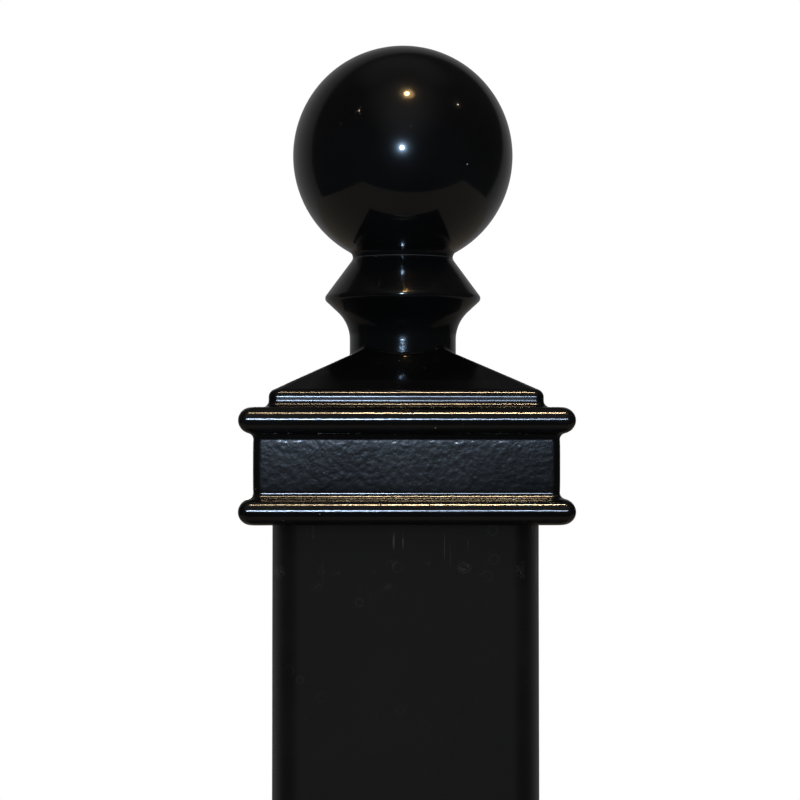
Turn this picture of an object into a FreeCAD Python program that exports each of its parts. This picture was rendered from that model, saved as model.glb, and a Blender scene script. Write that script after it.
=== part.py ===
import FreeCAD, Part
import math
import os

# A free-standing square garden post with a cast ball-finial cap.
# Millimetres. The origin is the centre of the foot plate's underside, +Z is up, and the
# front face of the post looks towards -Y. Heights named ..._H are measured from the lower
# edge of the cap's collar, which sits at Z = CAP_Z, and those of the base cover from its own
# lower edge, which rests on the foot plate.

Vec = FreeCAD.Vector

# --- post tube, foot plate and weld -------------------------------------------------
TUBE_SIDE = 101.6
TUBE_WALL = 4.8
TUBE_CORNER_R = 11.4
TUBE_LENGTH = 740.0
TUBE_HALF = TUBE_SIDE / 2

PLATE_SIDE = 220.0
PLATE_T = 10.0
PLATE_CORNER_R = 15.0
PLATE_CHAMFER = 1.5
ANCHOR_PITCH = 150.0
ANCHOR_HOLE_R = 7.0
DRAIN_HOLE_R = 20.0
WELD_LEG = 6.0
WELD_FACE_OUT = 2.1         # the hollow of the weld's face: out from the tube,
WELD_FACE_UP = 2.4          # and up from the plate
WELD_TOE = 0.2

# --- cap casting --------------------------------------------------------------------
SLIP_GAP = 0.7              # collar to tube, each side
PANEL_HALF = 57.5           # flat band between the two beads
BEAD_R = 5.0
BEAD_X = 58.0               # bead centre line, from the post axis
LOW_BEAD_H = BEAD_R
TOP_BEAD_H = 39.2
COVE_R = 2.3                # hollow between a bead and the panel
PLINTH_HALF = 51.9
PLINTH_FOOT_R = 2.5
EAVE_H = 50.1               # where the plinth's side and the pyramid would meet
EAVE_R = 3.2
ROOF_DEG = 26.0
MITRE_R = 3.0
STOP_H = 36.0               # the ledge that sits on the tube's end
CAVITY_HALF = 45.0
ROOF_T = 5.6                # vertical thickness of the pyramid's wall
BOSS_H = 55.0               # flat under the apex, for the washer
SOCKET_H = 62.0             # floor of the neck's round seat
SOCKET_GAP = 0.2
CAP_Z = PLATE_T + TUBE_LENGTH - STOP_H

# --- finial -------------------------------------------------------------------------
NECK_R = 21.1
NECK_COVE_R = 15.0
UNDER_DEG = 47.0            # underside of the girdle, from vertical
GIRDLE_H = 88.1             # height of the girdle's unrounded edge
GIRDLE_R = 31.5             # radius of the girdle's unrounded edge
GIRDLE_ROUND = 1.9
CONE_DEG = 36.4             # upper cone, from vertical
WAIST_ROUND = 2.5
BALL_R = 43.7
BALL_H = 145.0
BALL_WALL = 5.0
BALL_BOSS_R = 12.0
BALL_BOSS_TOP_H = 128.0
NECK_CORE_R = 15.0
NECK_CORE_TOP_H = 96.0
SPIGOT_R = 9.0
SPIGOT_LEN = 3.0
SPIGOT_GAP = 0.05

# --- M10 tie rod and its nut and washers --------------------------------------------
ROD_R = 5.0
ROD_HOLE_R = 5.5
THREAD_GAP = 0.05           # plain bores stand in for the threads
ROD_TOP_H = 126.0
ROD_END_OUT = 3.0           # rod left showing under the nut
ROD_CHAMFER = 1.0
WASHER_R = 10.0
WASHER_HOLE_R = 5.25
WASHER_T = 2.0
LOCK_R = 9.05
LOCK_HOLE_R = 5.1
LOCK_T = 2.2
LOCK_SLIT = 1.5
LOCK_SLIT_DEG = 20.0
NUT_FLATS = 16.0
NUT_T = 8.4

# --- M6 socket grub screws ----------------------------------------------------------
GRUB_R = 3.0
GRUB_LEN = 6.0
GRUB_GAP = 0.04             # to its hole, and from its tip to the tube
GRUB_CHAMFER = 0.6
SOCKET_FLATS = 3.0
SOCKET_DEPTH = 3.0
CAP_GRUB_H = 22.0

# --- base cover ---------------------------------------------------------------------
COVER_HALF = 98.0
COVER_SKIRT_H = 26.0
COVER_EDGE_R = 4.0
COVER_WALL = 5.0
COVER_COLLAR_HALF = 57.5
COVER_COLLAR_FOOT_R = 4.0
COVER_BEAD_R = 4.0
COVER_BEAD_X = 58.5
COVER_BEAD_H = 62.0
COVER_GRUB_H = 50.0

TAN_ROOF = math.tan(math.radians(ROOF_DEG))
APEX_H = EAVE_H + PLINTH_HALF * TAN_ROOF
UNDER = math.radians(UNDER_DEG)
COVE_START_H = (GIRDLE_H - (GIRDLE_R - NECK_R) / math.tan(UNDER)
                - NECK_COVE_R * math.tan(UNDER / 2))
BORE_HALF = TUBE_HALF + SLIP_GAP
BORE_CORNER_R = TUBE_CORNER_R + SLIP_GAP
TOUCH = 1e-4                # how near two places must be to count as one


# --- drawing helpers: profiles lie in the XZ plane, x outwards and z up --------------
def pt(x, z):
    return Vec(x, 0, z)


def line(a, b):
    return Part.makeLine(pt(*a), pt(*b))


def polar(centre, radius, deg):
    a = math.radians(deg)
    return (centre[0] + radius * math.cos(a), centre[1] + radius * math.sin(a))


def arc(centre, radius, start_deg, end_deg):
    middle = polar(centre, radius, (start_deg + end_deg) / 2)
    return Part.Arc(pt(*polar(centre, radius, start_deg)), pt(*middle),
                    pt(*polar(centre, radius, end_deg))).toShape()


def face_of(edges):
    return Part.Face(Part.Wire(edges))


def polygon_face(points):
    return face_of([line(a, b) for a, b in zip(points, points[1:] + points[:1])])


def turned(face):
    """A solid of revolution about the post axis."""
    return face.revolve(Vec(0, 0, 0), Vec(0, 0, 1), 360)


def mitred(face, mitre_r):
    """Run a half profile round a square, with rounded mitres at the four corners."""
    length = 4 * PLATE_SIDE
    east = face.extrude(Vec(0, length, 0))
    east.translate(Vec(0, -length / 2, 0))
    across = east.fuse(east.mirror(Vec(0, 0, 0), Vec(1, 0, 0))).removeSplitter()
    along = across.copy()
    along.rotate(Vec(0, 0, 0), Vec(0, 0, 1), 90)
    solid = across.common(along).Solids[0]
    mitres = [e for e in solid.Edges if on_diagonal(e)]
    return solid.makeFillet(mitre_r, mitres)


def on_diagonal(edge):
    steps = 4
    span = edge.LastParameter - edge.FirstParameter
    places = [edge.valueAt(edge.FirstParameter + span * k / steps) for k in range(steps + 1)]
    return all(abs(abs(p.x) - abs(p.y)) < TOUCH for p in places)


def rounded_square(half, corner_r, z):
    """A closed wire: a square with quarter-circle corners, at height z."""
    flat = half - corner_r
    edges = []
    for k in range(4):
        turn = FreeCAD.Rotation(Vec(0, 0, 1), 90 * k)
        side = [turn.multVec(Vec(half, y, z)) for y in (-flat, flat)]
        bend = corner_r / math.sqrt(2)
        corner = [turn.multVec(Vec(*p, z)) for p in
                  ((half, flat), (flat + bend, flat + bend), (flat, half))]
        edges.append(Part.makeLine(*side))
        edges.append(Part.Arc(*corner).toShape())
    return Part.Wire(edges)


def square_bar(half, corner_r, z0, z1):
    return Part.Face(rounded_square(half, corner_r, z0)).extrude(Vec(0, 0, z1 - z0))


def square_loft(half0, z0, half1, z1, corner_r):
    wires = [rounded_square(half0, corner_r, z0), rounded_square(half1, corner_r, z1)]
    return Part.makeLoft(wires, True, True)


def rod(radius, z0, z1):
    return Part.makeCylinder(radius, z1 - z0, Vec(0, 0, z0))


def hexagon(flats, z0, z1):
    radius = flats / math.sqrt(3)
    corners = [Vec(radius * math.cos(math.radians(60 * k)),
                   radius * math.sin(math.radians(60 * k)), z0) for k in range(7)]
    return Part.Face(Part.makePolygon(corners)).extrude(Vec(0, 0, z1 - z0))


def chamfered_rod(radius, z0, z1, chamfer):
    return turned(polygon_face([(0, z0), (radius - chamfer, z0), (radius, z0 + chamfer),
                                (radius, z1 - chamfer), (radius - chamfer, z1), (0, z1)]))


# --- post --------------------------------------------------------------------------
def post_tube():
    outside = square_bar(TUBE_HALF, TUBE_CORNER_R, PLATE_T, PLATE_T + TUBE_LENGTH)
    inside = square_bar(TUBE_HALF - TUBE_WALL, TUBE_CORNER_R - TUBE_WALL,
                        PLATE_T, PLATE_T + TUBE_LENGTH)
    return outside.cut(inside)


def base_plate():
    plate = square_bar(PLATE_SIDE / 2, PLATE_CORNER_R, 0, PLATE_T)
    rim = [e for e in plate.Edges if e.BoundBox.ZMin > PLATE_T - TOUCH]
    plate = plate.makeChamfer(PLATE_CHAMFER, rim)
    holes = [rod(DRAIN_HOLE_R, 0, PLATE_T)]
    for x in (-1, 1):
        for y in (-1, 1):
            hole = rod(ANCHOR_HOLE_R, 0, PLATE_T)
            hole.translate(Vec(x * ANCHOR_PITCH / 2, y * ANCHOR_PITCH / 2, 0))
            holes.append(hole)
    return plate.cut(holes)


def foot_weld():
    """A hollow fillet of weld between the tube and its plate, in two straight lofts."""
    face = [(WELD_LEG, 0), (WELD_FACE_OUT, WELD_FACE_UP), (WELD_TOE, WELD_LEG)]
    wires = [rounded_square(TUBE_HALF + out, TUBE_CORNER_R + out, PLATE_T + up)
             for out, up in face]
    bead = Part.makeLoft(wires, True, True)
    return bead.cut(square_bar(TUBE_HALF, TUBE_CORNER_R, 0, PLATE_T + 2 * WELD_LEG))


# --- cap ---------------------------------------------------------------------------
def bead_cove(bead_x, bead_r, panel_half, cove_r):
    """A hollow that blends a bead into a flat panel: the height from the bead's centre to
    the hollow's centre, and the angle round the bead at which they touch."""
    reach_x = panel_half + cove_r - bead_x
    reach_z = math.sqrt((bead_r + cove_r) ** 2 - reach_x ** 2)
    return reach_z, math.degrees(math.atan2(reach_z, reach_x))


def cap_profile():
    """Half section of the cap's outside, from the collar's lower edge to the apex."""
    cove_x = PANEL_HALF + COVE_R
    cove_dz, touch = bead_cove(BEAD_X, BEAD_R, PANEL_HALF, COVE_R)
    shoulder = TOP_BEAD_H + BEAD_R
    eave_turn = 90 - ROOF_DEG
    eave_start = EAVE_H - EAVE_R * math.tan(math.radians(eave_turn / 2))
    eave = (PLINTH_HALF - EAVE_R, eave_start)
    low_bead = (BEAD_X, LOW_BEAD_H)
    top_bead = (BEAD_X, TOP_BEAD_H)
    foot = (PLINTH_HALF + PLINTH_FOOT_R, shoulder + PLINTH_FOOT_R)
    return face_of([
        line((0, 0), (BEAD_X, 0)),
        arc(low_bead, BEAD_R, -90, touch),
        arc((cove_x, LOW_BEAD_H + cove_dz), COVE_R, 180 + touch, 180),
        line((PANEL_HALF, LOW_BEAD_H + cove_dz), (PANEL_HALF, TOP_BEAD_H - cove_dz)),
        arc((cove_x, TOP_BEAD_H - cove_dz), COVE_R, 180, 180 - touch),
        arc(top_bead, BEAD_R, -touch, 90),
        line((BEAD_X, shoulder), (foot[0], shoulder)),
        arc(foot, PLINTH_FOOT_R, 270, 180),
        line((PLINTH_HALF, foot[1]), (PLINTH_HALF, eave_start)),
        arc(eave, EAVE_R, 0, eave_turn),
        line(polar(eave, EAVE_R, eave_turn), (0, APEX_H)),
        line((0, APEX_H), (0, 0))])


def cap_casting():
    cap = mitred(cap_profile(), MITRE_R)
    inner_apex = APEX_H - ROOF_T
    roof_foot = inner_apex - CAVITY_HALF * TAN_ROOF
    boss_half = (inner_apex - BOSS_H) / TAN_ROOF
    corner = TUBE_CORNER_R - TUBE_WALL
    cap = cap.cut(square_bar(BORE_HALF, BORE_CORNER_R, 0, STOP_H))
    cap = cap.cut(square_bar(CAVITY_HALF, corner, STOP_H, roof_foot))
    cap = cap.cut(square_loft(CAVITY_HALF, roof_foot, boss_half, BOSS_H, corner))
    cap = cap.cut(rod(NECK_R + SOCKET_GAP, SOCKET_H, 2 * APEX_H))
    cap = cap.cut(rod(ROD_HOLE_R, 0, APEX_H))
    return drilled_for_grubs(cap, CAP_GRUB_H)


def drilled_for_grubs(casting, height):
    for side in (-1, 1):
        hole = Part.makeCylinder(GRUB_R + GRUB_GAP, PANEL_HALF, Vec(0, 0, height),
                                 Vec(side, 0, 0))
        casting = casting.cut(hole)
    return casting


def grub_screws(height):
    """Two screws, one in each side face, their tips just off the tube."""
    screw = chamfered_rod(GRUB_R, 0, GRUB_LEN, GRUB_CHAMFER)
    screw = screw.cut(hexagon(SOCKET_FLATS, GRUB_LEN - SOCKET_DEPTH, GRUB_LEN))
    screws = []
    for side in (-1, 1):
        one = screw.copy()
        one.rotate(Vec(0, 0, 0), Vec(0, 1, 0), 90 * side)
        one.translate(Vec(side * (TUBE_HALF + GRUB_GAP), 0, height))
        screws.append(one)
    return Part.makeCompound(screws)


# --- finial --------------------------------------------------------------------------
def waist_centre():
    """Centre of the waist's fillet, tangent to the upper cone and to the ball."""
    cone = math.radians(CONE_DEG)
    normal = (math.cos(cone), math.sin(cone))
    offset = normal[0] * GIRDLE_R + normal[1] * GIRDLE_H + WAIST_ROUND
    reach = BALL_R + WAIST_ROUND
    gap = normal[1] * BALL_H - offset
    along = -math.sqrt(reach ** 2 - gap ** 2)
    return (-normal[0] * gap - normal[1] * along, BALL_H - normal[1] * gap + normal[0] * along)


def girdle_centre():
    """Centre of the rounding on the girdle's edge."""
    half_turn = math.radians((UNDER_DEG + CONE_DEG) / 2)
    lean = math.radians((CONE_DEG - UNDER_DEG) / 2)
    back = GIRDLE_ROUND / math.cos(half_turn)
    return (GIRDLE_R - back * math.cos(lean), GIRDLE_H - back * math.sin(lean))


def finial_neck():
    waist = waist_centre()
    girdle = girdle_centre()
    cove = (NECK_R + NECK_COVE_R, COVE_START_H)
    top = waist[1]
    outer = [
        line((NECK_CORE_R, SOCKET_H), (NECK_R, SOCKET_H)),
        line((NECK_R, SOCKET_H), (NECK_R, COVE_START_H)),
        arc(cove, NECK_COVE_R, 180, 180 - UNDER_DEG),
        line(polar(cove, NECK_COVE_R, 180 - UNDER_DEG), polar(girdle, GIRDLE_ROUND, -UNDER_DEG)),
        arc(girdle, GIRDLE_ROUND, -UNDER_DEG, CONE_DEG),
        line(polar(girdle, GIRDLE_ROUND, CONE_DEG), polar(waist, WAIST_ROUND, 180 + CONE_DEG)),
        arc(waist, WAIST_ROUND, 180 + CONE_DEG, 180)]
    inner_points = [(waist[0] - WAIST_ROUND, top), (SPIGOT_R, top), (SPIGOT_R, top + SPIGOT_LEN),
                    (ROD_HOLE_R, top + SPIGOT_LEN), (ROD_HOLE_R, NECK_CORE_TOP_H),
                    (NECK_CORE_R, NECK_CORE_TOP_H), (NECK_CORE_R, SOCKET_H)]
    inner = [line(a, b) for a, b in zip(inner_points, inner_points[1:])]
    return turned(face_of(outer + inner))


def finial_ball():
    waist = waist_centre()
    low = waist[1]
    touch = math.degrees(math.atan2(BALL_H - waist[1], -waist[0]))
    ball = turned(face_of([
        line((0, low), (waist[0] - WAIST_ROUND, low)),
        arc(waist, WAIST_ROUND, 180, touch),
        arc((0, BALL_H), BALL_R, touch - 180, 90),
        line((0, BALL_H + BALL_R), (0, low))]))
    hollow = Part.makeSphere(BALL_R - BALL_WALL, Vec(0, 0, BALL_H))
    hollow = hollow.cut(rod(BALL_BOSS_R, low, BALL_BOSS_TOP_H))
    ball = ball.cut(hollow)
    ball = ball.cut(rod(ROD_R + THREAD_GAP, 0, BALL_H))
    return ball.cut(rod(SPIGOT_R + SPIGOT_GAP, low, low + SPIGOT_LEN + SPIGOT_GAP))


# --- tie rod, washers and nut, hung from the boss under the apex ----------------------
def tie_washer():
    top = BOSS_H
    return rod(WASHER_R, top - WASHER_T, top).cut(rod(WASHER_HOLE_R, top - WASHER_T, top))


def tie_lock_washer():
    top = BOSS_H - WASHER_T
    ring = rod(LOCK_R, top - LOCK_T, top).cut(rod(LOCK_HOLE_R, top - LOCK_T, top))
    slit = Part.makeBox(LOCK_R, LOCK_SLIT, 2 * LOCK_T, Vec(0, -LOCK_SLIT / 2, -LOCK_T))
    slit.rotate(Vec(0, 0, 0), Vec(1, 0, 0), LOCK_SLIT_DEG)
    slit.translate(Vec(WASHER_HOLE_R - LOCK_SLIT, 0, top - LOCK_T / 2))
    return ring.cut(slit)


def nut_bottom():
    return BOSS_H - WASHER_T - LOCK_T - NUT_T


def tie_nut():
    low = nut_bottom()
    nut = hexagon(NUT_FLATS, low, low + NUT_T)
    round_off = chamfered_rod(NUT_FLATS / math.sqrt(3), low, low + NUT_T, ROD_CHAMFER)
    return nut.common(round_off).cut(rod(ROD_R + THREAD_GAP, low, low + NUT_T))


def tie_rod():
    return chamfered_rod(ROD_R, nut_bottom() - ROD_END_OUT, ROD_TOP_H, ROD_CHAMFER)


# --- base cover ----------------------------------------------------------------------
def cover_profile():
    """Half section of the cover's outside, from the plate's top face upwards."""
    eave_turn = 90 - ROOF_DEG
    eave = (COVER_HALF - COVER_EDGE_R,
            COVER_SKIRT_H - COVER_EDGE_R * math.tan(math.radians(eave_turn / 2)))
    corner_z = COVER_SKIRT_H + (COVER_HALF - COVER_COLLAR_HALF) * TAN_ROOF
    foot = (COVER_COLLAR_HALF + COVER_COLLAR_FOOT_R,
            corner_z + COVER_COLLAR_FOOT_R * math.tan(math.radians(eave_turn / 2)))
    bead = (COVER_BEAD_X, COVER_BEAD_H)
    cove_dz, touch = bead_cove(COVER_BEAD_X, COVER_BEAD_R, COVER_COLLAR_HALF, COVE_R)
    cove = (COVER_COLLAR_HALF + COVE_R, COVER_BEAD_H - cove_dz)
    return face_of([
        line((0, 0), (COVER_HALF, 0)),
        line((COVER_HALF, 0), (COVER_HALF, eave[1])),
        arc(eave, COVER_EDGE_R, 0, eave_turn),
        line(polar(eave, COVER_EDGE_R, eave_turn),
             polar(foot, COVER_COLLAR_FOOT_R, 180 + eave_turn)),
        arc(foot, COVER_COLLAR_FOOT_R, 180 + eave_turn, 180),
        line((COVER_COLLAR_HALF, foot[1]), (COVER_COLLAR_HALF, cove[1])),
        arc(cove, COVE_R, 180, 180 - touch),
        arc(bead, COVER_BEAD_R, -touch, 90),
        line((COVER_BEAD_X, COVER_BEAD_H + COVER_BEAD_R), (0, COVER_BEAD_H + COVER_BEAD_R)),
        line((0, COVER_BEAD_H + COVER_BEAD_R), (0, 0))])


def base_cover():
    cover = mitred(cover_profile(), MITRE_R)
    inside_half = COVER_HALF - COVER_WALL
    roof_low = COVER_SKIRT_H - COVER_WALL
    roof_high = roof_low + (inside_half - BORE_HALF) * TAN_ROOF
    cover = cover.cut(square_bar(inside_half, MITRE_R, 0, roof_low))
    cover = cover.cut(square_loft(inside_half, roof_low, BORE_HALF, roof_high, MITRE_R))
    cover = cover.cut(square_bar(BORE_HALF, BORE_CORNER_R, 0, COVER_BEAD_H + COVER_BEAD_R))
    return drilled_for_grubs(cover, COVER_GRUB_H)


def write(node, shape, lift=0.0):
    shape.translate(Vec(0, 0, lift))
    shape.exportStep("parts/" + node + ".step")


def main():
    os.makedirs("parts", exist_ok=True)
    write("post_tube", post_tube())
    write("base_plate", base_plate())
    write("foot_weld", foot_weld())
    write("cap_casting", cap_casting(), CAP_Z)
    write("cap_set_screws", grub_screws(CAP_GRUB_H), CAP_Z)
    write("finial_neck", finial_neck(), CAP_Z)
    write("finial_ball", finial_ball(), CAP_Z)
    write("tie_rod", tie_rod(), CAP_Z)
    write("tie_washer", tie_washer(), CAP_Z)
    write("tie_lock_washer", tie_lock_washer(), CAP_Z)
    write("tie_nut", tie_nut(), CAP_Z)
    write("base_cover", base_cover(), PLATE_T)
    write("base_cover_screws", grub_screws(COVER_GRUB_H), PLATE_T)


main()
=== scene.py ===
import math

import bpy
import numpy as np
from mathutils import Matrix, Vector, noise


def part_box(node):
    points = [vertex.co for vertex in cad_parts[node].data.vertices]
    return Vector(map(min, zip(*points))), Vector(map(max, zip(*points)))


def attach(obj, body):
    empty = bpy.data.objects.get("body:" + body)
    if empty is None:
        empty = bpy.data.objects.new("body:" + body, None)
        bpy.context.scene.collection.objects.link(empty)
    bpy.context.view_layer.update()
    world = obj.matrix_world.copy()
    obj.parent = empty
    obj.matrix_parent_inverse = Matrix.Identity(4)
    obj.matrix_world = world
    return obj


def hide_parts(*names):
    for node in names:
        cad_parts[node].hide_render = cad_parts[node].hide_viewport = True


# A black powder-coated garden post with a cast ball-finial cap, dressed around the packed
# frame. Metres; the front face looks towards -Y and the origin is on the ground.

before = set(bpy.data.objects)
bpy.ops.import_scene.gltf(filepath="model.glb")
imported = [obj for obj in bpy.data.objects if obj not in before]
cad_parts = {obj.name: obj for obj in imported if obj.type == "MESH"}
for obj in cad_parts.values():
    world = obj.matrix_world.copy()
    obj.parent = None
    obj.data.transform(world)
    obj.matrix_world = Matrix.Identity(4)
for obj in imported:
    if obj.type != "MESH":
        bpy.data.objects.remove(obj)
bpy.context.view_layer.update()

MM = 0.001

# --- places taken from the frame ------------------------------------
CAP_LOW, CAP_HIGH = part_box("cap_casting")
TUBE_LOW, TUBE_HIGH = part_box("post_tube")
COVER_LOW, COVER_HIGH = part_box("base_cover")
WELD_LOW, WELD_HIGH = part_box("foot_weld")
ROD_LOW, ROD_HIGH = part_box("tie_rod")
BALL_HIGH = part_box("finial_ball")[1]

CAP_Z = CAP_LOW.z                       # lower edge of the collar, where "up" starts
TUBE_HALF = TUBE_HIGH.x
BALL_R = BALL_HIGH.x
BALL_Z = BALL_HIGH.z - BALL_R
STOP_Z = TUBE_HIGH.z                    # the ledge that sits on the tube's end
SOCKET_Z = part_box("finial_neck")[0].z   # the floor of the neck's socket

# --- outline of the cap ---------------------------------------------
BEAD_R = 5.0 * MM
BEAD_X = CAP_HIGH.x - BEAD_R
TOP_BEAD_UP = 39.2 * MM
PANEL_HALF = 57.5 * MM
PANEL_CROWN = 0.05 * MM                 # the panels bow outwards, and fall away a little
PANEL_EDGE = 0.07 * MM                  # faster towards their top and bottom edges
COVE_R = 2.3 * MM                       # hollow between a bead and a panel
PLINTH_HALF = 51.9 * MM
PLINTH_FOOT_R = 2.5 * MM
EAVE_UP = 50.1 * MM
EAVE_R = 3.2 * MM
ROOF = math.radians(26)
APEX_UP = EAVE_UP + PLINTH_HALF * math.tan(ROOF)
HIP_SOFTNESS = 1.6 * MM
MITRE_R = 3.0 * MM                      # the corners of the square castings
SOCKET_R = 21.3 * MM
LIP_W = 1.3 * MM
LIP_H = 1.1 * MM
SLIP_GAP = 0.7 * MM
CAVITY_HALF = 45 * MM
ROOF_T = 5.6 * MM
BOSS_UP = 55 * MM
ROD_HOLE_R = 5.5 * MM

# --- outline of the neck and ball -----------------------------------
NECK_R = 21.1 * MM
NECK_COVE_R = 15.0 * MM
UNDER = 47.0                            # underside of the girdle, degrees from vertical
CONE = 36.4                             # upper cone, degrees from vertical
GIRDLE_R = 31.5 * MM
GIRDLE_UP = 88.1 * MM
NECK_COVE_UP = (GIRDLE_UP - (GIRDLE_R - NECK_R) / math.tan(math.radians(UNDER))
                - NECK_COVE_R * math.tan(math.radians(UNDER / 2)))
GIRDLE_ROUND = 1.9 * MM
WAIST_ROUND = 2.5 * MM
SEAM_ROUND = 0.10 * MM
CREASE_UP = 104.2 * MM                  # the joint line between neck and ball
SPIGOT_R = 9 * MM                       # the neck's spigot, that centres the ball
SPIGOT_H = 3 * MM
NECK_BORE_R = 15 * MM                   # the neck's wide bore, and where it ends
NECK_BORE_UP = 96 * MM

# --- the tube and the foot cover ------------------------------------
TUBE_CORNER_R = 11.4 * MM
TUBE_WALL = 4.8 * MM
TUBE_EDGE = 0.3 * MM                    # the broken edge at its ends
COVER_EDGE_R = 4 * MM
COVER_SKIRT = 26 * MM
COVER_WALL = 5 * MM
COVER_COLLAR_HALF = 57.5 * MM
COVER_BEAD_R = 4 * MM
COVER_BEAD_OUT = 1 * MM
COVER_FOOT_R = 4 * MM

# --- waviness of the pieces: (feature size, height, seed of the noise) ---
CAP_WAVES = [(2.2 * MM, 0.0012 * MM, 1), (6 * MM, 0.008 * MM, 2), (22 * MM, 0.05 * MM, 3)]
NECK_WAVES = [(5 * MM, 0.020 * MM, 4), (14 * MM, 0.045 * MM, 5)]
BALL_WAVES = [(9 * MM, 0.002 * MM, 6), (30 * MM, 0.06 * MM, 7)]
TUBE_WAVES = [(45 * MM, 0.05 * MM, 8), (160 * MM, 0.12 * MM, 9)]
COVER_WAVES = [(4 * MM, 0.03 * MM, 11), (12 * MM, 0.07 * MM, 12), (40 * MM, 0.16 * MM, 13)]
SEED_SHIFT = (17.3, 5.1, 11.7)          # moves the noise this far for each seed

# --- fineness of the meshes -----------------------------------------
ARC_STEP = 0.45 * MM
FILLET_STEP = 0.25 * MM
RUN_STEP = 0.75 * MM
SIDE_POINTS = 200                       # points along each side and corner of the castings
CORNER_POINTS = 10
LATHE_POINTS = 384
TUBE_SIDE_POINTS, TUBE_CORNER_POINTS = 44, 20
TUBE_ROW = 5 * MM
WELD_SIDE_POINTS, WELD_CORNER_POINTS = 120, 24
ROOF_STEPS = 46
LIP_STEPS = 7

# --- the coats ------------------------------------------------------
GLOSS = 0.085                           # roughness of the sharp top coat,
TURNED_GLOSS = 0.055                    # of the same on the neck and ball,
HAZE = 0.18                             # and of the hazy body under it
PANEL_HAZE = 0.25
COAT_WEIGHT = 0.72
COAT_IOR = 1.5
BODY_SPECULAR = 0.11
CAP_PEEL = 0.045 * MM                   # height of the coat's orange peel on the beads,
PANEL_PEEL = 2.0                        # and the shares of it on the panels and on the
PLINTH_PEEL = 0.05                      # coves, plinth and roof
NECK_PEEL = 0.030 * MM
BALL_PEEL = 0.0006 * MM
PANEL_COAT = 0.6                        # shares of the sharp top coat
ROOF_COAT = 0.65
LEDGE_COAT = 0.08
COVE_COAT = 0.05
HOLLOW_COAT = 0.3
WAIST_COAT = 0.5
BALL_FOOT_COAT = 0.15
MOTTLE = 0.10                           # unevenness of the panels' haze
# share of the pale line painted round the neck's joint as a painted highlight
CREASE_PAINTED_HIGHLIGHT = 0.05
PEEL_GRAIN, FINE_GRAIN = 430, 1300      # features of the peel in a metre
NIB_CELLS, NIB_SIZE = 170, 0.060        # cells that may hold a speck, in a metre
CAP_NIBS, NECK_NIBS, BALL_NIBS = 0.8, 0.5, 0.05     # shares of the cells with a speck
DUST_AND_PAINTED_HIGHLIGHT = 0.45                             # how pale dust is, and the painted highlight line in the neck's joint

# --- camera ---------------------------------------------------------
CAMERA_AWAY = 0.95
CAMERA_UP = 29.7 * MM
CAMERA_AZIMUTH = math.radians(-1.62)
CAMERA_PITCH = math.radians(1.098)
CAMERA_YAW = math.radians(-0.067)
CAMERA_LENS = 107.5

# --- the room, as it looks in a reflection --------------------------
BACKDROP = 0.18                         # how bright each part of it looks
CEILING = 0.18
OVERHEAD = 0.06
ROOM = 0.013
TABLE = 0.155
DOME = 0.75                             # the soft light on everything that isn't a mirror
BACKDROP_TURN = 0.11                    # the backdrop comes further round on the left,
BACKDROP_LEAN = 0.20                    # less far overhead,
BACKDROP_TWIST = 0.25                   # and least of all overhead on the right
BACKDROP_EDGE = 0.475
BACKDROP_SOFT = 0.03
CEILING_MIDDLE = 0.66                   # height of the ceiling's bright patch, as a sine,
CEILING_REACH = 0.68                    # and how far it spreads
TABLE_LEFT = -1.55                      # edges of the warm patch of floor
TABLE_RIGHT = 1.95
TABLE_FRONT = 0.90
TABLE_SOFT = 0.04
TABLE_SHADE = 0.42                      # it darkens this near the post
FLOOR_R = 2.4

# --- lights: widths and distances in metres -------------------------
FLASH_BLUE, PALE_BLUE = (0.47, 0.71, 1.0), (0.60, 0.76, 1.0)
LAMP_GOLD, PALE_GOLD = (1.0, 0.62, 0.25), (1.0, 0.74, 0.44)
LAMP_AMBER = (1.0, 0.75, 0.55)
SOFTBOX_WHITE, FILL_WHITE = (0.97, 0.99, 1.03), (1.0, 0.98, 0.95)
FLASH_ABOVE_CAMERA = 0.150
FLASH_ASIDE = -0.014
FLASH_WIDTH = 0.044
LAMP_WIDTH = 0.072                      # the ceiling lamp, and the glow round it
GLOW_WIDTH = 0.23
CEILING_AWAY = 1.4
LAMP_RISE = math.radians(63)            # the collar's own ceiling lamp
STRIP_HEIGHT = 0.04
SIDE_LAMP_AWAY = 2.5
SIDE_LAMP_WIDTH = 0.04
SOFTBOX_UP = 0.45
SOFTBOX_AWAY = 1.05
SOFTBOX_WIDTH, SOFTBOX_HEIGHT = 0.95, 1.7
FILL_AWAY = 1.3
FILL_WIDTH = 0.40
FLAG_Y = -44 * MM                       # the collar's lamps reach no further back than this
FLAG_SOFT = 3 * MM


# ====================================================================
# outlines: lists of (outwards, up) points, made of straight runs and arcs
# ====================================================================
def arc(cx, cz, r, start, end, step=ARC_STEP):
    """Points along an arc, in degrees, both ends included."""
    count = max(4, math.ceil(abs(math.radians(end - start)) * r / step))
    angles = [math.radians(start + (end - start) * k / count) for k in range(count + 1)]
    return [(cx + r * math.cos(a), cz + r * math.sin(a)) for a in angles]


def run(a, b, step=RUN_STEP):
    """Points strictly between a and b."""
    length = math.hypot(b[0] - a[0], b[1] - a[1])
    count = max(1, math.ceil(length / step))
    return [(a[0] + (b[0] - a[0]) * k / count, a[1] + (b[1] - a[1]) * k / count)
            for k in range(1, count)]


def joined(*stretches, step=RUN_STEP):
    """Chains stretches of points with straight runs between them."""
    points = list(stretches[0])
    for stretch in stretches[1:]:
        points += run(points[-1], stretch[0], step)
        points += list(stretch)
    return points


def bead_cove(bead_x, bead_r, panel_half):
    """Height and contact angle of the hollow that blends a bead into a panel."""
    reach_x = panel_half + COVE_R - bead_x
    reach_z = math.sqrt((bead_r + COVE_R) ** 2 - reach_x ** 2)
    return reach_z, math.degrees(math.atan2(reach_z, reach_x))


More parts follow.
